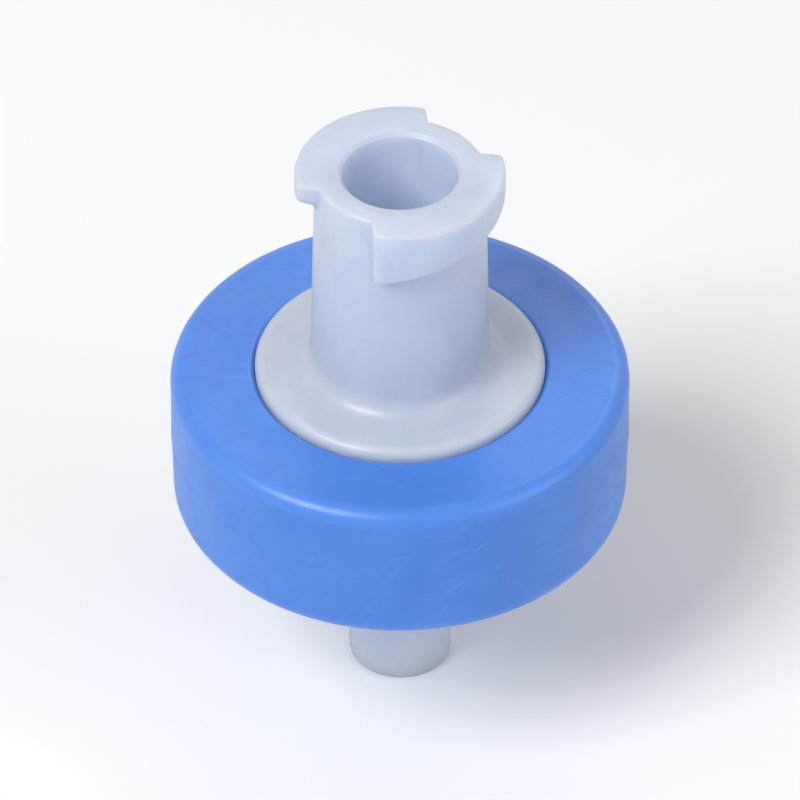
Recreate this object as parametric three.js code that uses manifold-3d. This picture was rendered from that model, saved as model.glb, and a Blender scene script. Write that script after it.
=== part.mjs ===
// A 13 mm syringe filter. Two moulded polypropylene housings pinch a round membrane between
// them, and a blue ring moulded over their rims holds the stack together. A syringe's Luer lock
// tip goes into the hub at the top, and the filtered liquid leaves by the slip tip at the bottom.
// Millimetres, +Z up. The origin is the centre of the outlet tip's end face.
import * as THREE from 'three';
import { mergeVertices } from 'three/addons/utils/BufferGeometryUtils.js';
import Module from 'manifold-3d';

// Round pieces all have the same facets about Z, so pieces of one radius meet face to face.
const SIDES = 48;
const EDGE_STEPS = 3;

// Overmoulded ring.
const RING_OD = 17.5;
const RING_HEIGHT = 6;
const RING_OPENING = 11;
const RING_EDGE = 0.6;
const RING_LIP_EDGE = 0.25;

// Housing rims, which the ring grips.
const HOUSING_OD = 14.4;
const INLET_RIM = 1.6;
const OUTLET_RIM = 1.6;

// Membrane, in a pocket of the outlet housing.
const MEMBRANE_OD = 13;
const MEMBRANE_THICKNESS = 0.15;
const MEMBRANE_CLEARANCE = 0.1;

// Shallow chambers over and under the membrane.
const CHAMBER_OD = 11.2;
const INLET_CHAMBER_EDGE = 0.3;
const INLET_CHAMBER_CENTRE = 0.8;
const OUTLET_CHAMBER = 0.4;
const RIB_COUNT = 12;
const RIB_WIDTH = 0.4;
const RIB_START = 0.5;

// Faces of the two housings inside the ring's openings.
const INLET_FACE_PROUD = 0.4;
const INLET_FACE_EDGE = 0.35;
const OUTLET_FACE_SUNK = 0.6;

// Inlet hub: a female Luer lock fitting.
const LUER_TAPER = 0.06;
const HUB_HEIGHT = 9;
const BORE_MOUTH = 4.3;
const BORE_DEPTH = 8;
const BORE_COUNTERSINK = 0.15;
const HUB_WALL = 1;
const HUB_DRAFT = 0.25;
const HUB_EDGE = 0.15;
const HUB_FILLET = 0.7;
const PASSAGE = 2;

// The hub's two lugs, flush with its end. Their undersides climb as a right-hand thread.
const LUG_ACROSS = 7.8;
const LUG_LEAD = 5;
const LUG_THIN_END = 0.6;
const LUG_SPAN = 135;
const LUG_RAMP = 12;
const LUG_FLANK = 25;
const LUG_MIDDLE = 135;

// Outlet: a male Luer slip tip.
const TIP_LENGTH = 8.6;
const TIP_END_OD = 3.97;
const TIP_BORE = 2;
const TIP_EDGE = 0.2;
const TIP_FILLET = 0.8;

// Heights worked out from the sizes above.
const ringBottom = TIP_LENGTH;
const ringTop = ringBottom + RING_HEIGHT;
const seam = ringBottom + RING_HEIGHT / 2;
const rimTop = seam + INLET_RIM;
const rimBottom = seam - OUTLET_RIM;
const inletFace = ringTop + INLET_FACE_PROUD;
const outletFace = ringBottom + OUTLET_FACE_SUNK;
const hubEnd = inletFace + HUB_HEIGHT;
const boreBottom = hubEnd - BORE_DEPTH;
const membraneBottom = seam - MEMBRANE_THICKNESS;
const outletFloor = membraneBottom - OUTLET_CHAMBER;

// Radii worked out from them.
const ringOpening = RING_OPENING / 2;
const housing = HOUSING_OD / 2;
const chamber = CHAMBER_OD / 2;
const pocket = MEMBRANE_OD / 2 + MEMBRANE_CLEARANCE;
const hubAtEnd = BORE_MOUTH / 2 + HUB_WALL;
const hubAtBase = hubAtEnd + HUB_DRAFT;
const tipAtEnd = TIP_END_OD / 2;
const lugRadius = LUG_ACROSS / 2;

const wasm = await Module();
wasm.setup();

// The radius of a Luer cone at some distance from where its radius is known.
function luerRadius(radius, distance) {
  return radius + (distance * LUER_TAPER) / 2;
}

// Points [radius, height] along a round edge about a centre, between two angles in degrees.
function arc(radius, height, size, from, to) {
  const points = [];
  for (let i = 0; i <= EDGE_STEPS; i += 1) {
    const angle = THREE.MathUtils.degToRad(from + ((to - from) * i) / EDGE_STEPS);
    points.push([radius + size * Math.cos(angle), height + size * Math.sin(angle)]);
  }
  return points;
}

// A solid turned about Z from a closed outline that runs anticlockwise in (radius, height).
function turned(outline) {
  const points = [...outline, outline[0]].map(([radius, height]) => new THREE.Vector2(radius, height));
  return new THREE.LatheGeometry(points, SIDES).rotateX(Math.PI / 2);
}

// A closed geometry as a solid for joining and cutting.
function solid(geometry) {
  const bare = geometry.clone();
  bare.deleteAttribute('normal');
  bare.deleteAttribute('uv');
  const merged = mergeVertices(bare, 1e-4);
  const vertProperties = new Float32Array(merged.attributes.position.array);
  const triVerts = new Uint32Array(merged.index.array);
  return new wasm.Manifold(new wasm.Mesh({ numProp: 3, vertProperties, triVerts }));
}

// A solid as a geometry again.
function geometryOf(manifold) {
  const mesh = manifold.getMesh();
  const geometry = new THREE.BufferGeometry();
  geometry.setAttribute('position', new THREE.BufferAttribute(new Float32Array(mesh.vertProperties), 3));
  geometry.setIndex(new THREE.BufferAttribute(new Uint32Array(mesh.triVerts), 1));
  geometry.computeVertexNormals();
  return geometry;
}

// One lug before it is turned down: a box bent round the hub, from inside the hub's wall to past the
// lugs' diameter. Its ends lean back and its underside follows the thread.
function lugBlank(middle) {
  const spare = HUB_WALL / 2;
  const slope = Math.tan(THREE.MathUtils.degToRad(LUG_FLANK));
  const steps = Math.round((LUG_SPAN * SIDES) / 360);
  const geometry = new THREE.BoxGeometry(1, 1, 1, 1, steps, 1);
  const position = geometry.attributes.position;
  for (let i = 0; i < position.count; i += 1) {
    const isOuter = position.getX(i) > 0;
    const isTop = position.getZ(i) > 0;
    const radius = isOuter ? lugRadius + spare : hubAtEnd - spare;
    const reach = isOuter ? LUG_SPAN / 2 - LUG_RAMP : LUG_SPAN / 2;
    const degrees = 2 * position.getY(i) * reach;
    const climb = (LUG_LEAD * (LUG_SPAN / 2 - degrees)) / 360;
    const flank = (lugRadius - radius) * slope;
    const underside = hubEnd - LUG_THIN_END - climb - flank;
    const angle = THREE.MathUtils.degToRad(middle + degrees);
    position.setXYZ(i, radius * Math.cos(angle), radius * Math.sin(angle), isTop ? hubEnd + spare : underside);
  }
  return solid(geometry);
}

// Both lugs, turned down to their diameter and cut flush with the hub's end.
function lugs() {
  const inner = hubAtEnd - HUB_WALL / 2;
  const envelope = solid(turned([
    [inner, inletFace],
    [lugRadius, inletFace],
    ...arc(lugRadius - HUB_EDGE, hubEnd - HUB_EDGE, HUB_EDGE, 0, 90),
    [inner, hubEnd],
  ]));
  const pair = lugBlank(LUG_MIDDLE).add(lugBlank(LUG_MIDDLE + 180));
  return pair.intersect(envelope);
}

// Upper housing: rim, face, hub with its Luer bore, and the chamber over the membrane.
function inletHousing() {
  const mouth = BORE_MOUTH / 2;
  const body = solid(turned([
    [chamber, seam],
    [housing, seam],
    [housing, rimTop],
    [ringOpening, rimTop],
    ...arc(ringOpening - INLET_FACE_EDGE, inletFace - INLET_FACE_EDGE, INLET_FACE_EDGE, 0, 90),
    ...arc(hubAtBase + HUB_FILLET, inletFace + HUB_FILLET, HUB_FILLET, 270, 180),
    ...arc(hubAtEnd - HUB_EDGE, hubEnd - HUB_EDGE, HUB_EDGE, 0, 90),
    [mouth + BORE_COUNTERSINK, hubEnd],
    [mouth, hubEnd - BORE_COUNTERSINK],
    [luerRadius(mouth, -BORE_DEPTH), boreBottom],
    [PASSAGE / 2, boreBottom],
    [PASSAGE / 2, seam + INLET_CHAMBER_CENTRE],
    [chamber, seam + INLET_CHAMBER_EDGE],
  ]));
  return geometryOf(body.add(lugs()));
}

// A rib that carries the membrane. It runs out from near the bore, and its foot and its outer end
// are inside the housing.
function rib(index) {
  const start = TIP_BORE / 2 + RIB_START;
  const length = pocket - start;
  const height = membraneBottom - rimBottom;
  const box = new THREE.BoxGeometry(length, RIB_WIDTH, height);
  box.translate(start + length / 2, 0, membraneBottom - height / 2);
  return solid(box.rotateZ((2 * Math.PI * index) / RIB_COUNT));
}

// Lower housing: slip tip with its bore, face, rim, membrane pocket and ribbed chamber.
function outletHousing() {
  const bore = TIP_BORE / 2;
  const filletTop = outletFace - TIP_FILLET;
  const tipAtBase = luerRadius(tipAtEnd, filletTop);
  let body = solid(turned([
    [bore, 0],
    ...arc(tipAtEnd - TIP_EDGE, TIP_EDGE, TIP_EDGE, 270, 360),
    ...arc(tipAtBase + TIP_FILLET, filletTop, TIP_FILLET, 180, 90),
    [ringOpening, outletFace],
    [ringOpening, rimBottom],
    [housing, rimBottom],
    [housing, seam],
    [pocket, seam],
    [pocket, membraneBottom],
    [chamber, membraneBottom],
    [chamber, outletFloor],
    [bore, outletFloor],
  ]));
  for (let i = 0; i < RIB_COUNT; i += 1) {
    body = body.add(rib(i));
  }
  return geometryOf(body);
}

// The membrane: a thin disc that lies on the outlet housing's ledge and ribs.
function membrane() {
  const disc = new THREE.CylinderGeometry(MEMBRANE_OD / 2, MEMBRANE_OD / 2, MEMBRANE_THICKNESS, SIDES);
  return disc.rotateX(Math.PI / 2).translate(0, 0, seam - MEMBRANE_THICKNESS / 2);
}

// The ring: two lips over the housing rims, joined round the outside.
function overmouldRing() {
  const outer = RING_OD / 2;
  const lip = ringOpening + RING_LIP_EDGE;
  return turned([
    ...arc(lip, ringBottom + RING_LIP_EDGE, RING_LIP_EDGE, 180, 270),
    ...arc(outer - RING_EDGE, ringBottom + RING_EDGE, RING_EDGE, 270, 360),
    ...arc(outer - RING_EDGE, ringTop - RING_EDGE, RING_EDGE, 0, 90),
    ...arc(lip, ringTop - RING_LIP_EDGE, RING_LIP_EDGE, 90, 180),
    [ringOpening, rimTop],
    [housing, rimTop],
    [housing, rimBottom],
    [ringOpening, rimBottom],
  ]);
}

const milkyPolypropylene = new THREE.MeshStandardMaterial({ color: 0xdfe6ee, roughness: 0.4, metalness: 0 });
const bluePolypropylene = new THREE.MeshStandardMaterial({ color: 0x3f78d0, roughness: 0.42, metalness: 0 });
const whiteMembrane = new THREE.MeshStandardMaterial({ color: 0xf4f4f0, roughness: 0.9, metalness: 0 });

const group = new THREE.Group();

function addPart(name, geometry, material) {
  const mesh = new THREE.Mesh(geometry, material);
  mesh.name = name;
  group.add(mesh);
}

addPart('inlet_housing', inletHousing(), milkyPolypropylene);
addPart('outlet_housing', outletHousing(), milkyPolypropylene);
addPart('membrane', membrane(), whiteMembrane);
addPart('overmould_ring', overmouldRing(), bluePolypropylene);

export default group;
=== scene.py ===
"""The looks of a 13 mm syringe filter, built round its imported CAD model.

Blender works in metres. Outlines are written in millimetres, as the part's drawing is, and MM turns
them into metres when a mesh is made. The filter's axis is Z, with the Luer hub at the top.
"""
import math

import bmesh
import bpy
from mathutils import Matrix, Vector, noise


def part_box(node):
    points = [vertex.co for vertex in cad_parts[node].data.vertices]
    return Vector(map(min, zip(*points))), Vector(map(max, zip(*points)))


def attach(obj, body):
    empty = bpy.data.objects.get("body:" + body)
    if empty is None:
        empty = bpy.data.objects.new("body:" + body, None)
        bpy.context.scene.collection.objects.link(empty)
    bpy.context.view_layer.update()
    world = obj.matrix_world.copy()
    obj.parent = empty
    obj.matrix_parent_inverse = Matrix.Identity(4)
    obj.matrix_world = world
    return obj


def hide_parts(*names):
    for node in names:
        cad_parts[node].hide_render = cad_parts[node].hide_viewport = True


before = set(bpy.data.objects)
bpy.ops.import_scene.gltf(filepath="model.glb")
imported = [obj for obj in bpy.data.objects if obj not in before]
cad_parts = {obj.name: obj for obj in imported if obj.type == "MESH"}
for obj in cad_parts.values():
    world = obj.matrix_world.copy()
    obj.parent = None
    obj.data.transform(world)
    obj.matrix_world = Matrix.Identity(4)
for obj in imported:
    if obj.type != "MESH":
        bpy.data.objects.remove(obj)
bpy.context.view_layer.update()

MM = 0.001

# ---------------------------------------------------------------- sizes read from the frame, in mm


def node_span(node, axis, end):
    """One end (0 low, 1 high) of a CAD node's box along an axis, in millimetres."""
    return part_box(node)[end][axis] / MM


RING_R = node_span("overmould_ring", 0, 1)
RING_LOW = node_span("overmould_ring", 2, 0)
RING_HIGH = node_span("overmould_ring", 2, 1)
HOUSING_R = node_span("inlet_housing", 0, 1)
SEAM = node_span("inlet_housing", 2, 0)
HUB_END = node_span("inlet_housing", 2, 1)
MEMBRANE_R = node_span("membrane", 0, 1)
MEMBRANE_LOW = node_span("membrane", 2, 0)
TIP_END = node_span("outlet_housing", 2, 0)

# ---------------------------------------------------------------- sizes that the boxes don't give, in mm

OPENING_R = 5.5
RIM = 1.6
RING_EDGE = 0.6
LIP_EDGE = 0.25
INLET_FACE = RING_HIGH + 0.4
OUTLET_FACE = RING_LOW + 0.6
FACE_EDGE = 0.35
CHAMBER_R = 5.6
POCKET_R = MEMBRANE_R + 0.1
CHAMBER_EDGE = 0.3
CHAMBER_CENTRE = 0.8
OUTLET_FLOOR = MEMBRANE_LOW - 0.4
RIBS = 12
RIB_WIDTH = 0.4
RIB_EDGE = 0.1
RIB_INNER_R = 1.5
PASSAGE_R = 1.0
PASSAGE_EDGE = 0.08
PASSAGE_CHAMBER_EDGE = 0.1

LUER_SLOPE = 0.03
BORE_MOUTH_R = 2.15
BORE_DEPTH = 8.0
BORE_BOTTOM = HUB_END - BORE_DEPTH
BORE_BOTTOM_FILLET = 0.15
COUNTERSINK = 0.15
COUNTERSINK_EDGE = 0.06
HUB_END_R = 3.15
HUB_BASE_R = 3.4
HUB_FILLET = 0.7
HUB_EDGE = 0.15

LUG_R = 3.9
LUG_THIN_END = 0.6
LUG_LEAD = 5.0
LUG_FLANK = math.tan(math.radians(25.0))

TIP_END_R = 1.985
TIP_BORE_R = 1.0
TIP_EDGE = 0.2
TIP_FILLET = 0.8

RING_DRAFT = 0.025
RING_SINK = 0.03
PARTING_RIDGE = 0.02
PARTING_HALF = 0.05
SPLIT_LINE_RIDGE = 0.02

GATE_DIMPLE_R = 0.85
GATE_DIMPLE_EDGE = 0.3
GATE_DIMPLE_DEPTH = 0.14
GATE_NUB_R = 0.3
GATE_NUB_EDGE = 0.12
GATE_NUB_HEIGHT = 0.09

EJECTOR_FROM_AXIS = 4.35
EJECTOR_R = 0.6
EJECTOR_EDGE = 0.1
EJECTOR_DEPTH = 0.05

INLET_RIPPLE = 0.008
OUTLET_RIPPLE = 0.006
RING_RIPPLE = 0.008
RIPPLE_ROOM = 0.004  # the parting ridge is this much lower, so that no ripple leaves the CAD box
RIPPLE_SCALE = 0.45  # the scale of the ripple's noise, for each mm

# ---------------------------------------------------------------- angles round the axis, in degrees

LUG_MIDDLES = (135.0, 315.0)
LUG_HALF = 67.5
LUG_TOP_HALF = 64.1
LUG_CREST_HALF = 58.9
LUG_TO_GAP = 90.0  # from the middle of a lug to the middle of the gap beside it
SPLIT_LINE_HALF = 0.7
GATE_ANGLE = 300.0
EJECTOR_ANGLES = (30.0, 150.0, 270.0)

# ---------------------------------------------------------------- how finely the shapes are cut

SHELL_ANGLES = 300
MEMBRANE_ANGLES = 120
CLOSE_STEP = 0.4  # degrees between the close angles at a lug's end and at the gate mark
CLOSE_MARGIN = 2.0  # degrees that close angles go on past a lug's end or a split line
SPLIT_LINE_STEP = 0.25  # degrees
GATE_HALF = 9.0  # degrees of close angles each way from the gate mark
ARC_STEPS = 8
HUB_ROWS_LOW = HUB_END - 3.5  # in mm, where the rows of points up the hub's side start
ROWS_UNDER_CREST = 0.6  # in mm, how far under a lug's lower edge the rows are close together
ROWS_OVER_CREST = 0.15  # and how far over it
CLOSE_ROWS = 15
FLOOR_STEPS = 24
HOLD = 0.025  # in mm, the short faces that keep a flat flat next to a round edge
GAP = 0.005  # in mm, between pieces that touch inside, so that no two surfaces are in one place
AXIS_ROOM = 0.01  # in mm, because a turned outline can't reach the axis itself
SOFT_BEND = 0.3  # how much of a soft ramp its bends take up
TIGHT_BEND = 0.2

# ---------------------------------------------------------------- outlines


class Corner:
    """A corner of an outline, with the radius of its round edge and what the side after it is like.

    The side has a number of pieces, which bend can move, or it runs through the points in via.
    """

    def __init__(self, r, z, fillet=0.0, pieces=3, bend=None, via=None):
        self.at = Vector((r, z))
        self.fillet = fillet
        self.pieces = pieces
        self.bend = bend
        self.via = via


def rounded(before, corner, after):
    """The points of one corner: a round edge that touches both sides, or the corner itself."""
    if corner.fillet == 0:
        return [(corner.at.x, corner.at.y, 0.0)]
    to_before = (before.at - corner.at).normalized()
    to_after = (after.at - corner.at).normalized()
    half_angle = to_before.angle(to_after) / 2
    inward = (to_before + to_after).normalized()
    centre = corner.at + inward * (corner.fillet / math.sin(half_angle))
    back = corner.fillet / math.tan(half_angle)
    first = corner.at + to_before * back - centre
    last = corner.at + to_after * back - centre
    start = math.atan2(first.y, first.x)
    turn = math.remainder(math.atan2(last.y, last.x) - start, math.tau)
    points = []
    for step in range(ARC_STEPS + 1):
        angle = start + turn * step / ARC_STEPS
        point = centre + corner.fillet * Vector((math.cos(angle), math.sin(angle)))
        points.append((point.x, point.y, 1.0))
    return points


def side(start, end, pieces):
    """The points between two ends of a straight side, with a short face next to each end."""
    start, end = Vector(start[:2]), Vector(end[:2])
    length = (end - start).length
    shares = [i / pieces for i in range(1, pieces)]
    if length > 4 * HOLD:
        hold = HOLD / length
        shares = [hold, *shares, 1 - hold]
    return [(*(start + (end - start) * share), 0.0) for share in shares]


def closed_outline(corners):
    """A closed outline, anticlockwise in (radius, height), as points (radius, height, edge)."""
    count = len(corners)
    runs = [rounded(corners[i - 1], corners[i], corners[(i + 1) % count]) for i in range(count)]
    points = []
    for i, corner in enumerate(corners):
        points += runs[i]
        following = runs[(i + 1) % count]
        if corner.via is not None:
            points += corner.via
            continue
        straight = side(runs[i][-1], following[0], corner.pieces)
        if corner.bend is not None:
            straight = [(*corner.bend(r, z), edge) for r, z, edge in straight]
        points += straight
    return points


def even_angles(count, extra=()):
    """Angles all round the axis, with closer ones added where a detail needs them."""
    angles = {round(360 * i / count, 4) for i in range(count)}
    angles.update(round(a % 360, 4) for a in extra)
    return sorted(angles)


def close_angles(low, high, step):
    """Angles from low to high, a step apart."""
    return [low + step * i for i in range(round((high - low) / step) + 1)]


def link_to_scene(thing):
    bpy.context.scene.collection.objects.link(thing)


def turned_piece(name, outline_at, angles, ripple=0.0):
    """A closed mesh whose outline may change with the angle round Z."""
    mesh = bpy.data.meshes.new(name)
    bm = bmesh.new()
    edge_layer = bm.verts.layers.float.new("edge")
    rings = []
    for degrees in angles:
        a = math.radians(degrees)
        ring = []
        for r, z, edge in outline_at(degrees):
            place = Vector((r * math.cos(a), r * math.sin(a), z))
            wave = ripple * noise.noise(place * RIPPLE_SCALE)
            place += wave * Vector((math.cos(a), math.sin(a), 0.0))
            vert = bm.verts.new(place * MM)
            vert[edge_layer] = edge
            ring.append(vert)
        rings.append(ring)
    for i, ring in enumerate(rings):
        after = rings[(i + 1) % len(rings)]
        for j in range(len(ring)):
            k = (j + 1) % len(ring)
            face = bm.faces.new((ring[j], after[j], after[k], ring[k]))
            face.smooth = True
    bm.to_mesh(mesh)
    bm.free()
    piece = bpy.data.objects.new(name, mesh)
    link_to_scene(piece)
    return piece


def soft_ramp(x, soft):
    """0 up to x = 0, then x, then 1 from x = 1 on, with both bends rounded over +-soft."""
    if x > 0.5:
        return 1 - soft_ramp(1 - x, soft)
    if x >= soft:
        return x
    if x <= -soft:
        return 0.0
    return (x + soft) ** 2 / (4 * soft)


def round_mark(degrees, r, mark_angle, mark_r, radius, edge):
    """1 inside a round mark on a flat face and 0 outside it, changing over the width of its edge."""
    a = math.radians(degrees - mark_angle)
    away = math.hypot(r * math.cos(a) - mark_r, r * math.sin(a))
    return soft_ramp((radius - away) / edge + 0.5, SOFT_BEND)


# ---------------------------------------------------------------- inlet housing


def lug_offset(degrees):
    """The angle from the middle of the nearest lug, positive anticlockwise."""
    offsets = [math.remainder(degrees - middle, 360.0) for middle in LUG_MIDDLES]
    return min(offsets, key=abs)


def lug_share(degrees):
    """How much of the lugs' height stands out at an angle: 1 along a lug, 0 in the gaps."""
    left = LUG_TOP_HALF - abs(lug_offset(degrees))
    return soft_ramp(left / (LUG_TOP_HALF - LUG_CREST_HALF), TIGHT_BEND)


def lug_underside(degrees):
    """The height of a lug's lower edge, which climbs anticlockwise and drops back over the gap."""
    offset = lug_offset(degrees)
    gap_half = LUG_TO_GAP - LUG_HALF
    high = HUB_END - LUG_THIN_END
    drop = LUG_LEAD * 2 * LUG_HALF / 360
    if offset > LUG_HALF:
        return high - drop * (offset - LUG_HALF) / (2 * gap_half)
    if offset < -LUG_HALF:
        return high - drop * (offset + LUG_TO_GAP + gap_half) / (2 * gap_half)
    return high - LUG_LEAD * (LUG_HALF - offset) / 360


def split_line(degrees):
    """A thin raised line where the mould's halves met, in the gaps between the lugs."""
    away = LUG_TO_GAP - abs(lug_offset(degrees))
    return SPLIT_LINE_RIDGE * math.exp(-((away / SPLIT_LINE_HALF) ** 2))


def hub_radius(z):
    """The hub's outside without lugs, which tapers a little to its end."""
    share = (z - INLET_FACE) / (HUB_END - INLET_FACE)
    return HUB_BASE_R + (HUB_END_R - HUB_BASE_R) * share


def hub_side(degrees):
    """Points up the hub's side past the lugs, close together where their flanks are."""
    crest = lug_underside(degrees)
    flank = (LUG_R - HUB_END_R) * LUG_FLANK
    share = lug_share(degrees)
    close_low = crest - ROWS_UNDER_CREST
    close_high = crest + ROWS_OVER_CREST
    top = HUB_END - 2 * HUB_EDGE
    heights = [HUB_ROWS_LOW + (close_low - HUB_ROWS_LOW) * i / 3 for i in (1, 2)]
    for i in range(CLOSE_ROWS + 1):
        heights.append(close_low + (ROWS_UNDER_CREST + ROWS_OVER_CREST) * i / CLOSE_ROWS)
    heights += [close_high + (top - crest - ROWS_OVER_CREST) * i / 4 for i in (1, 2, 3)]
    points = []
    for z in heights:
        out = soft_ramp((z - crest) / flank + 1, SOFT_BEND) * share
        r = hub_radius(z) + (LUG_R - hub_radius(z)) * out + split_line(degrees)
        edge = 4 * out * (1 - out)  # 1 halfway out to a lug's top, 0 at both ends
        points.append((r, z, edge))
    return points


def inlet_outline(degrees):
    end_r = HUB_END_R + (LUG_R - HUB_END_R) * lug_share(degrees)
    line = split_line(degrees)
    return closed_outline([
        Corner(CHAMBER_R, SEAM),
        Corner(HOUSING_R - GAP, SEAM),
        Corner(HOUSING_R - GAP, SEAM + RIM - GAP),
        Corner(OPENING_R - GAP, SEAM + RIM - GAP),
        Corner(OPENING_R - GAP, INLET_FACE, FACE_EDGE, 6),
        Corner(HUB_BASE_R, INLET_FACE, HUB_FILLET, 10),
        Corner(hub_radius(HUB_ROWS_LOW) + line, HUB_ROWS_LOW, via=hub_side(degrees)),
        Corner(end_r + line, HUB_END - 2 * HUB_EDGE, pieces=1),
        Corner(end_r + line, HUB_END, HUB_EDGE, 4),
        Corner(BORE_MOUTH_R + COUNTERSINK, HUB_END, COUNTERSINK_EDGE, 1),
        Corner(BORE_MOUTH_R, HUB_END - COUNTERSINK, COUNTERSINK_EDGE, 16),
        Corner(BORE_MOUTH_R - BORE_DEPTH * LUER_SLOPE, BORE_BOTTOM, BORE_BOTTOM_FILLET, 3),
        Corner(PASSAGE_R, BORE_BOTTOM, PASSAGE_EDGE, 6),
        Corner(PASSAGE_R, SEAM + CHAMBER_CENTRE, PASSAGE_CHAMBER_EDGE, 6),
        Corner(CHAMBER_R, SEAM + CHAMBER_EDGE),
    ])


def make_inlet():
    """The upper shell, with close angles where its lugs end and along its split lines."""
    lug_end = close_angles(LUG_CREST_HALF - CLOSE_MARGIN, LUG_TOP_HALF + CLOSE_MARGIN, CLOSE_STEP)
    extra = []
    for middle in LUG_MIDDLES:
        extra += [middle + way * angle for way in (-1, 1) for angle in lug_end]
        line = middle + LUG_TO_GAP
        extra += close_angles(line - CLOSE_MARGIN, line + CLOSE_MARGIN, SPLIT_LINE_STEP)
    return turned_piece("inlet_shell", inlet_outline, even_angles(SHELL_ANGLES, extra), INLET_RIPPLE)


# ---------------------------------------------------------------- outlet housing


def rib_share(degrees, r):
    """1 on top of a rib under the membrane and 0 between the ribs."""
    if r < RIB_INNER_R:
        return 0.0
    away = math.radians(abs(math.remainder(degrees, 360.0 / RIBS))) * r
    return soft_ramp((RIB_WIDTH / 2 + RIB_EDGE / 2 - away) / RIB_EDGE, TIGHT_BEND)


def outlet_floor(degrees):
    """Points in along the chamber's floor, over the ribs."""
    points = []
    for i in range(1, FLOOR_STEPS):
        r = CHAMBER_R + (TIP_BORE_R - CHAMBER_R) * i / FLOOR_STEPS
        lift = (MEMBRANE_LOW - GAP - OUTLET_FLOOR) * rib_share(degrees, r)
        points.append((r, OUTLET_FLOOR + lift, 0.0))
    return points


def outlet_outline(degrees):
    base_r = TIP_END_R + LUER_SLOPE * (OUTLET_FACE - TIP_END)

    def with_ejector_marks(r, z):
        shares = [
            round_mark(degrees, r, angle, EJECTOR_FROM_AXIS, EJECTOR_R, EJECTOR_EDGE)
            for angle in EJECTOR_ANGLES
        ]
        return r, z + EJECTOR_DEPTH * sum(shares)

    return closed_outline([
        Corner(TIP_BORE_R, TIP_END, PASSAGE_EDGE, 3),
        Corner(TIP_END_R, TIP_END, TIP_EDGE, 16),
        Corner(base_r, OUTLET_FACE, TIP_FILLET, 30, bend=with_ejector_marks),
        Corner(OPENING_R - GAP, OUTLET_FACE),
        Corner(OPENING_R - GAP, SEAM - RIM + GAP),
        Corner(HOUSING_R - GAP, SEAM - RIM + GAP),
        Corner(HOUSING_R - GAP, SEAM - GAP),
        Corner(POCKET_R, SEAM - GAP),
        Corner(POCKET_R, MEMBRANE_LOW - GAP),
        Corner(CHAMBER_R, MEMBRANE_LOW - GAP),
        Corner(CHAMBER_R, OUTLET_FLOOR, via=outlet_floor(degrees)),
        Corner(TIP_BORE_R, OUTLET_FLOOR, pieces=16),
    ])


def make_outlet():
    return turned_piece("outlet_shell", outlet_outline, even_angles(SHELL_ANGLES), OUTLET_RIPPLE)


# ---------------------------------------------------------------- ring and membrane


FLAT_INNER_R = OPENING_R + LIP_EDGE
FLAT_OUTER_R = RING_R - PARTING_RIDGE - RING_DRAFT - RING_EDGE
FLAT_MIDDLE_R = (FLAT_INNER_R + FLAT_OUTER_R) / 2


def ring_sink(r):
    """How far a face of the ring has sunk while it cooled, most in the middle of its width."""
    share = (r - FLAT_MIDDLE_R) / (FLAT_OUTER_R - FLAT_MIDDLE_R)
    return RING_SINK * max(0.0, 1 - share ** 2) ** 2


def gate_mark(degrees, r):
    """How far the ring's lower face goes in where its plastic came in: a dimple with a nub in it."""
    middle = (degrees, r, GATE_ANGLE, FLAT_MIDDLE_R)
    dimple = GATE_DIMPLE_DEPTH * round_mark(*middle, GATE_DIMPLE_R, GATE_DIMPLE_EDGE)
    nub = GATE_NUB_HEIGHT * round_mark(*middle, GATE_NUB_R, GATE_NUB_EDGE)
    return dimple - nub


def ring_outline(degrees):
    side_r = RING_R - PARTING_RIDGE
    rim_r = side_r - RING_DRAFT
    middle = (RING_LOW + RING_HIGH) / 2

    def lower_face(r, z):
        return r, z + ring_sink(r) + gate_mark(degrees, r)

    def upper_face(r, z):
        return r, z - ring_sink(r)

    return closed_outline([
        Corner(OPENING_R, RING_LOW, LIP_EDGE, 32, bend=lower_face),
        Corner(rim_r, RING_LOW, RING_EDGE, 6),
        Corner(side_r, middle - PARTING_HALF, pieces=1),
        Corner(RING_R - RIPPLE_ROOM, middle, pieces=1),
        Corner(side_r, middle + PARTING_HALF, pieces=6),
        Corner(rim_r, RING_HIGH, RING_EDGE, 12, bend=upper_face),
        Corner(OPENING_R, RING_HIGH, LIP_EDGE, 3),
        Corner(OPENING_R, SEAM + RIM),
        Corner(HOUSING_R, SEAM + RIM),
        Corner(HOUSING_R, SEAM - RIM),
        Corner(OPENING_R, SEAM - RIM),
    ])


def make_ring():
    gate = close_angles(GATE_ANGLE - GATE_HALF, GATE_ANGLE + GATE_HALF, CLOSE_STEP)
    return turned_piece("blue_ring", ring_outline, even_angles(SHELL_ANGLES, gate), RING_RIPPLE)


def membrane_outline(degrees):
    """The same at every angle."""
    return closed_outline([
        Corner(AXIS_ROOM, MEMBRANE_LOW, pieces=20),
        Corner(MEMBRANE_R, MEMBRANE_LOW),
        Corner(MEMBRANE_R, SEAM - GAP, pieces=20),
        Corner(AXIS_ROOM, SEAM - GAP),
    ])


def make_membrane():
    return turned_piece("membrane_disc", membrane_outline, even_angles(MEMBRANE_ANGLES))


# ---------------------------------------------------------------- colours and surfaces

# Colours are linear, with an alpha of 1.
MILKY_DARK = (0.63, 0.705, 0.865, 1.0)
MILKY_PALE = (0.71, 0.776, 0.91, 1.0)
# The next colour is a painted highlight on the milky plastic's rounded edges, and the number after it
# says how much of it shows.
MILKY_EDGE_HIGHLIGHT = (0.78, 0.828, 0.93, 1.0)
MILKY_EDGE_HIGHLIGHT_SHARE = 0.35
MILKY_SATIN = 0.35

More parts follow.
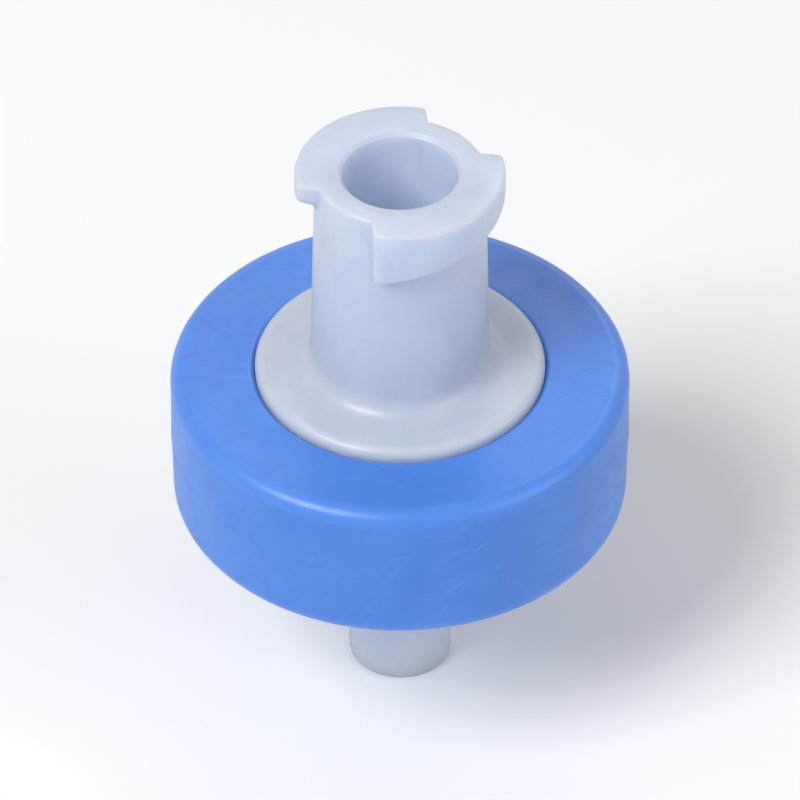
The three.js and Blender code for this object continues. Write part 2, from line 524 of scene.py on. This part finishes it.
BLUE_DARK = (0.052, 0.195, 0.645, 1.0)
BLUE_PALE = (0.066, 0.222, 0.690, 1.0)
BLUE_RUBBED = (0.14, 0.33, 0.78, 1.0)
# The next colour is a painted highlight on the blue ring's rounded edges, and the share below it says how
# much of it shows.
BLUE_EDGE_HIGHLIGHT = (0.13, 0.31, 0.78, 1.0)
BLUE_RUB = 0.2
BLUE_EDGE_HIGHLIGHT_SHARE = 0.3
BLUE_SATIN = 0.4

FILM_DARK = (0.80, 0.80, 0.78, 1.0)
FILM_PALE = (0.87, 0.87, 0.85, 1.0)

PLASTIC_IOR = 1.49
SOFT_RELIEF = 0.3  # how strongly the waves and the rub marks show

# How deep each layer of bumps is, in metres.
WAVES_DEPTH = 0.00004
PEEL_DEPTH = 0.000012
GRAIN_DEPTH = 0.000008
SCUFF_DEPTH = 0.000004
FIBRE_DEPTH = 0.00001

# A denoised render has dark specks where a surface's roughness crosses about 0.275. The smoothest
# place on these plastics is a worn edge, at SATIN_LOW - EDGE_POLISH, which stays above that.
SATIN_LOW = 0.35
SATIN_HIGH = 0.45
EDGE_POLISH = 0.06
SCUFF_ROUGHNESS = 0.08

# The two ways in which rub marks run, each as a turn about X, Y and Z in radians and how many times
# longer than wide the marks are.
SCUFF_RUNS = (((0.5, 0.3, 0.8), 16.0), ((1.1, -0.4, -0.6), 22.0))

# ---------------------------------------------------------------- materials


def feed(tree, socket, value):
    """Gives a socket a plain value, or links another node's output to it."""
    if isinstance(value, bpy.types.NodeSocket):
        tree.links.new(value, socket)
    else:
        socket.default_value = value


def node(tree, kind, inputs=None, **settings):
    """A shader node with its settings and what goes into its sockets."""
    made = tree.nodes.new(kind)
    for key, value in settings.items():
        setattr(made, key, value)
    for socket, value in (inputs or {}).items():
        feed(tree, made.inputs[socket], value)
    return made


def new_material(name):
    """A material and its node tree, which is still empty."""
    material = bpy.data.materials.new(name)
    material.use_nodes = True
    material.node_tree.nodes.clear()
    return material, material.node_tree


def finish_surface(tree, inputs):
    """Ends a material in a principled shader with these inputs."""
    principled = node(tree, "ShaderNodeBsdfPrincipled", inputs)
    node(tree, "ShaderNodeOutputMaterial", {"Surface": principled.outputs[0]})


def object_place(tree):
    """Where a point is on its object, in metres."""
    return node(tree, "ShaderNodeTexCoord").outputs["Object"]


def noise_of(tree, place, scale, detail=2.0, rough=0.5, bent=0.0):
    inputs = {"Vector": place, "Scale": scale, "Detail": detail, "Roughness": rough, "Distortion": bent}
    return node(tree, "ShaderNodeTexNoise", inputs).outputs[0]


def ranged(tree, source, low, high, from_low=0.3, from_high=0.7):
    """A value stretched from one range to another."""
    inputs = {"Value": source, "From Min": from_low, "From Max": from_high, "To Min": low, "To Max": high}
    return node(tree, "ShaderNodeMapRange", inputs).outputs["Result"]


def blended(tree, factor, first, second):
    """A colour between two others, each a colour or another node's output."""
    made = node(tree, "ShaderNodeMix", {"Factor": factor}, data_type="RGBA")
    slots = [socket for socket in made.inputs if socket.type == "RGBA"]
    for slot, colour in zip(slots, (first, second)):
        feed(tree, slot, colour)
    return next(socket for socket in made.outputs if socket.type == "RGBA")


def maths(tree, operation, *values):
    """A calculation with values, each a number or another node's output."""
    return node(tree, "ShaderNodeMath", dict(enumerate(values)), operation=operation).outputs[0]


def rounded_edges(tree):
    """1 on a piece's rounded edges and 0 on its faces, from the mesh's own attribute."""
    return node(tree, "ShaderNodeAttribute", attribute_name="edge").outputs["Fac"]


def scuff_marks(tree, place):
    """Sparse, thin, slightly bent rub marks that run two ways over the open faces.

    A texture mapping turns the marks first and thins them after that. A point mapping would thin
    them first, and then all of them would run the same way.
    """
    runs = []
    for turn, thinness in SCUFF_RUNS:
        inputs = {"Vector": place, "Rotation": turn, "Scale": (1.0, 1.0 / thinness, 1.0)}
        along = node(tree, "ShaderNodeMapping", inputs, vector_type="TEXTURE").outputs[0]
        thin = noise_of(tree, along, scale=450.0, detail=1.0, bent=0.3)
        runs.append(ranged(tree, thin, 0.0, 1.0, from_low=0.62, from_high=0.78))
    open_faces = maths(tree, "SUBTRACT", 1.0, rounded_edges(tree))
    return maths(tree, "MULTIPLY", maths(tree, "MAXIMUM", *runs), open_faces)


def edge_highlight_and_polish(tree, place):
    """The pieces' rounded edges, broken up by a noise. The colour gets a painted highlight there, and the
    roughness a polish.
    """
    uneven = noise_of(tree, place, scale=500.0)
    patchy = ranged(tree, uneven, 0.2, 1.0, from_low=0.2, from_high=0.8)
    return maths(tree, "MULTIPLY", rounded_edges(tree), patchy)


def moulded_normal(tree, place, satin, scuffs):
    """Slow waves, a satin grain and the rub marks, as one chain of bumps."""
    layers = (
        (noise_of(tree, place, scale=450.0, detail=1.0), SOFT_RELIEF, WAVES_DEPTH),
        (noise_of(tree, place, scale=2600.0), satin, PEEL_DEPTH),
        (noise_of(tree, place, scale=9000.0, detail=3.0, rough=0.6), satin, GRAIN_DEPTH),
        (scuffs, SOFT_RELIEF, SCUFF_DEPTH),
    )
    last = None
    for height, strength, depth in layers:
        bump = node(tree, "ShaderNodeBump", {"Height": height, "Strength": strength, "Distance": depth})
        if last is not None:
            feed(tree, bump.inputs["Normal"], last)
        last = bump.outputs[0]
    return last


def moulded_roughness(tree, place, scuffs, highlight_and_polish):
    """Satin with smears, rougher along rub marks and polished on worn edges."""
    smears = noise_of(tree, place, scale=900.0, detail=3.0, rough=0.6)
    smeared = ranged(tree, smears, SATIN_LOW, SATIN_HIGH)
    rubbed = maths(tree, "MULTIPLY_ADD", scuffs, SCUFF_ROUGHNESS, smeared)
    return maths(tree, "MULTIPLY_ADD", highlight_and_polish, -EDGE_POLISH, rubbed)


def milky_plastic():
    """Natural polypropylene: milky, a little cloudy, satin, and lit through its thin walls, with a
    painted highlight on its rounded edges.
    """
    material, tree = new_material("milky_polypropylene")
    place = object_place(tree)
    clouds = noise_of(tree, place, scale=420.0, detail=4.0, rough=0.6)
    body = blended(tree, ranged(tree, clouds, 0.0, 1.0), MILKY_DARK, MILKY_PALE)
    scuffs = scuff_marks(tree, place)
    highlight_and_polish = edge_highlight_and_polish(tree, place)
    finish_surface(tree, {
        # Painted highlight: the rounded edges are blended towards a paler colour.
        "Base Color": blended(tree, maths(tree, "MULTIPLY", highlight_and_polish, MILKY_EDGE_HIGHLIGHT_SHARE), body, MILKY_EDGE_HIGHLIGHT),
        "Roughness": moulded_roughness(tree, place, scuffs, highlight_and_polish),
        "IOR": PLASTIC_IOR,
        "Subsurface Weight": 1.0,
        "Subsurface Radius": (0.9, 1.0, 1.15),
        "Subsurface Scale": 0.0014,
        "Transmission Weight": 0.35,
        "Normal": moulded_normal(tree, place, MILKY_SATIN, scuffs),
    })
    return material


def blue_plastic():
    """Blue polypropylene: evenly coloured, satin, slightly paler on rub marks, and with a painted
    highlight on its rounded edges.
    """
    material, tree = new_material("blue_polypropylene")
    place = object_place(tree)
    streaks = noise_of(tree, place, scale=350.0, detail=5.0, rough=0.6)
    body = blended(tree, ranged(tree, streaks, 0.0, 1.0), BLUE_DARK, BLUE_PALE)
    scuffs = scuff_marks(tree, place)
    highlight_and_polish = edge_highlight_and_polish(tree, place)
    rubbed = blended(tree, maths(tree, "MULTIPLY", scuffs, BLUE_RUB), body, BLUE_RUBBED)
    finish_surface(tree, {
        # Painted highlight: the rounded edges are blended towards a paler blue.
        "Base Color": blended(tree, maths(tree, "MULTIPLY", highlight_and_polish, BLUE_EDGE_HIGHLIGHT_SHARE), rubbed, BLUE_EDGE_HIGHLIGHT),
        "Roughness": moulded_roughness(tree, place, scuffs, highlight_and_polish),
        "IOR": PLASTIC_IOR,
        "Subsurface Weight": 0.5,
        "Subsurface Radius": (0.4, 0.7, 1.4),
        "Subsurface Scale": 0.0006,
        "Normal": moulded_normal(tree, place, BLUE_SATIN, scuffs),
    })
    return material


def membrane_film():
    """White PVDF film: matt, with a faint fibrous grain."""
    material, tree = new_material("pvdf_film")
    fibres = noise_of(tree, object_place(tree), scale=5000.0, detail=6.0, rough=0.7)
    grain = {"Height": fibres, "Strength": 0.5, "Distance": FIBRE_DEPTH}
    finish_surface(tree, {
        "Base Color": blended(tree, ranged(tree, fibres, 0.0, 1.0), FILM_DARK, FILM_PALE),
        "Roughness": ranged(tree, fibres, 0.8, 0.95),
        "Normal": node(tree, "ShaderNodeBump", grain).outputs[0],
    })
    return material


# ---------------------------------------------------------------- the studio, in metres

CAMERA_ELEVATION = math.radians(41.0)
CAMERA_TARGET = Vector((0.0, 0.0, 0.0128))
CAMERA_DISTANCE = 0.22

# Each lamp has a place, a width and a power. The back one is weak. Faces that look up mirror it to
# the camera, and the hub keeps it off the face in front of it, so a stronger one makes the hub's rim
# much paler than the face.
LAMPS = {
    "key": ((-0.22, -0.20, 0.34), 0.22, 1.5),
    "fill": ((0.32, -0.16, 0.20), 0.30, 0.45),
    "back": ((0.06, 0.34, 0.26), 0.24, 0.2),
}
LAMP_TARGET = Vector((0.0, 0.0, 0.012))

WHITE = (1.0, 1.0, 1.0, 1.0)
SKY_COLOUR = (0.97, 0.98, 1.0, 1.0)
SKY_STRENGTH = 0.43

FLOOR_COLOUR = (0.88, 0.88, 0.88, 1.0)
FLOOR_HALF = 0.5
FLOOR_SOLID_R = 0.06
FLOOR_CLEAR_R = 0.16


def aim(thing, target):
    direction = target - thing.location
    thing.rotation_euler = direction.to_track_quat("-Z", "Y").to_euler()


def add_camera():
    """A long lens that looks down at the inlet side, 49 degrees off the filter's axis."""
    lens = bpy.data.cameras.new("camera")
    lens.lens = 260.0
    lens.sensor_width = 36.0
    lens.clip_start = 0.01
    camera = bpy.data.objects.new("camera", lens)
    direction = Vector((0.0, -math.cos(CAMERA_ELEVATION), math.sin(CAMERA_ELEVATION)))
    camera.location = CAMERA_TARGET + CAMERA_DISTANCE * direction
    link_to_scene(camera)
    aim(camera, CAMERA_TARGET)
    bpy.context.scene.camera = camera


def add_lamps():
    """Soft round lamps round the filter."""
    for name, (place, width, power) in LAMPS.items():
        lamp = bpy.data.lights.new(name, "AREA")
        lamp.shape = "DISK"
        lamp.size = width
        lamp.energy = power
        softbox = bpy.data.objects.new(name, lamp)
        softbox.location = place
        link_to_scene(softbox)
        aim(softbox, LAMP_TARGET)


def mixed(tree, factor, first, second):
    """A shader between two others."""
    return node(tree, "ShaderNodeMixShader", {0: factor, 1: first, 2: second}).outputs[0]


def add_world():
    """White to the camera, to gloss and through clear walls, and a soft grey light on everything."""
    world = bpy.data.worlds.new("studio")
    bpy.context.scene.world = world
    world.use_nodes = True
    tree = world.node_tree
    tree.nodes.clear()
    seen = node(tree, "ShaderNodeBackground", {"Color": WHITE, "Strength": 1.0}).outputs[0]
    lit = node(tree, "ShaderNodeBackground", {"Color": SKY_COLOUR, "Strength": SKY_STRENGTH}).outputs[0]
    path = node(tree, "ShaderNodeLightPath").outputs
    either = maths(tree, "MAXIMUM", path["Is Camera Ray"], path["Is Glossy Ray"])
    any_of = maths(tree, "MAXIMUM", either, path["Is Transmission Ray"])
    node(tree, "ShaderNodeOutputWorld", {"Surface": mixed(tree, any_of, lit, seen)})


def floor_material():
    """Pale paint that fades to clear away from the filter and is clear from below."""
    material, tree = new_material("pale_floor")
    paint = node(tree, "ShaderNodeBsdfDiffuse", {"Color": FLOOR_COLOUR}).outputs[0]
    clear = node(tree, "ShaderNodeBsdfTransparent").outputs[0]
    far = node(tree, "ShaderNodeVectorMath", {0: object_place(tree)}, operation="LENGTH")
    fade = ranged(tree, far.outputs["Value"], 0.0, 1.0, FLOOR_SOLID_R, FLOOR_CLEAR_R)
    below = node(tree, "ShaderNodeNewGeometry").outputs["Backfacing"]
    surface = mixed(tree, maths(tree, "MAXIMUM", fade, below), paint, clear)
    node(tree, "ShaderNodeOutputMaterial", {"Surface": surface})
    return material


def add_floor():
    """A plain pale floor that fades into the white background away from the filter."""
    mesh = bpy.data.meshes.new("floor")
    corners = [(x * FLOOR_HALF, y * FLOOR_HALF) for x, y in ((-1, -1), (1, -1), (1, 1), (-1, 1))]
    mesh.from_pydata([(x, y, TIP_END * MM) for x, y in corners], [], [(0, 1, 2, 3)])
    mesh.materials.append(floor_material())
    floor = bpy.data.objects.new("floor", mesh)
    link_to_scene(floor)


# ---------------------------------------------------------------- the filter


def stand_for(cad_node, piece, material):
    """Gives a piece its material, puts it under the root body and hides the CAD node that it stands for.
    """
    piece.data.materials.append(material)
    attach(piece, "root")
    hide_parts(cad_node)


add_camera()
milky = milky_plastic()
stand_for("inlet_housing", make_inlet(), milky)
stand_for("outlet_housing", make_outlet(), milky)
stand_for("membrane", make_membrane(), membrane_film())
stand_for("overmould_ring", make_ring(), blue_plastic())
add_lamps()
add_world()
add_floor()

bpy.context.scene.view_settings.view_transform = "Standard"
